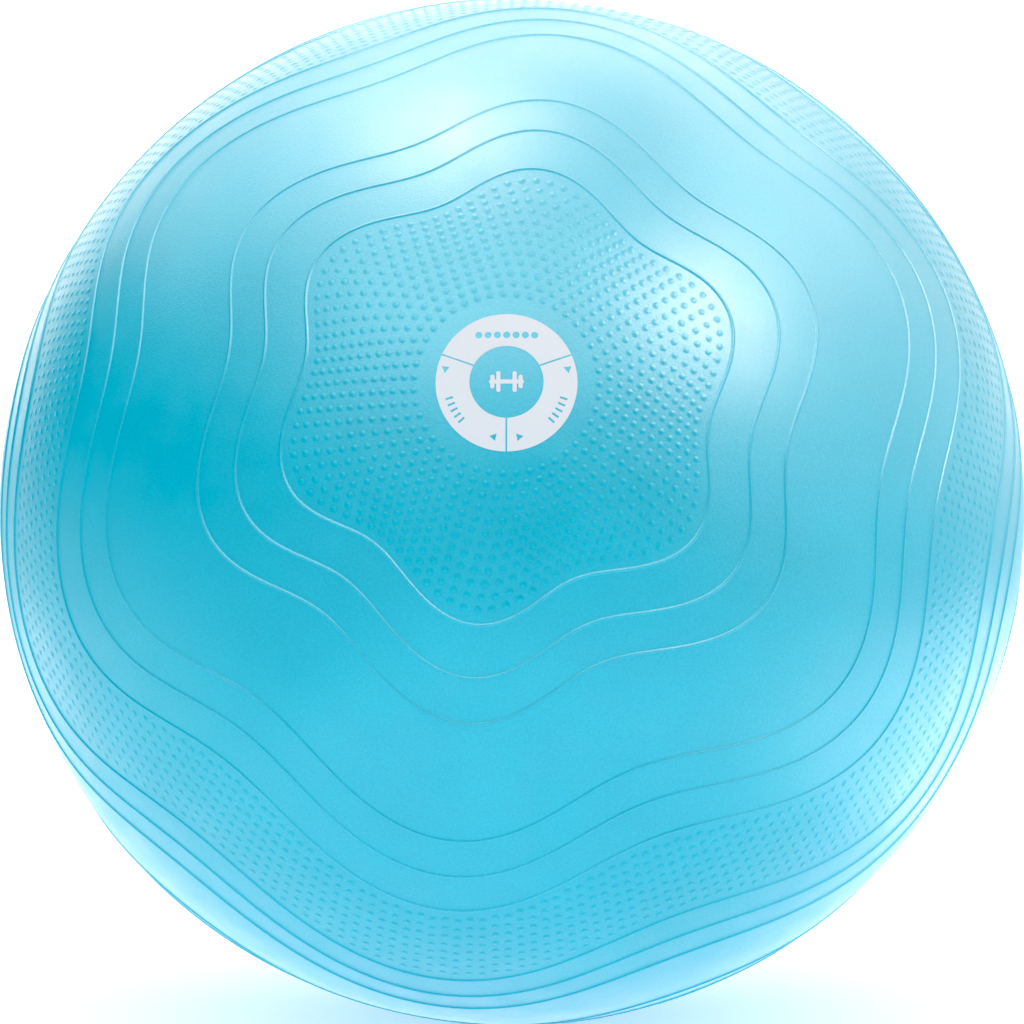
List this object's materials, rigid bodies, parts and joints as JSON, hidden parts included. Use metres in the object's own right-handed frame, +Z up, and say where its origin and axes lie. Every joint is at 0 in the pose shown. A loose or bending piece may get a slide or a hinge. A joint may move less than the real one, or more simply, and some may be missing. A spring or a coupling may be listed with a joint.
{
  "type": "exercise ball",
  "caption": "Inflated vinyl exercise ball with wavy moulded ribs, bands of small studs, a printed ring and a pull-out valve stopper.",
  "frame": {"origin": "centre of the flat patch on which the ball rests, on the floor", "axes": "+Z up through the ball's centre; the printed ring faces -Y, raised 20 degrees above the horizontal; the valve faces +Y, 20 degrees below it; +X is to the right of someone who faces the printed ring"},
  "size_m": [0.6498, 0.6498, 0.6475],
  "materials": {
    "skin_vinyl": "satin soft vinyl, moulded with ribs and studs",
    "sleeve_vinyl": "smooth soft vinyl",
    "stopper_plastic": "moulded polyethylene, satin",
    "print_ink": "flat screen-printed ink"
  },
  "bodies": {
    "ball": {"ball_skin": "skin_vinyl", "valve_sleeve": "sleeve_vinyl", "print_arc_top": "print_ink", "print_arc_left": "print_ink", "print_arc_right": "print_ink", "print_centre_mark": "print_ink"},
    "stopper": {"valve_stopper": "stopper_plastic"}
  },
  "joints": [
    {"name": "stopper_pull", "type": "slide", "parent": "ball", "child": "stopper", "axis": [0, 0.9397, -0.342], "range_m": [0, 0.03]}
  ]
}
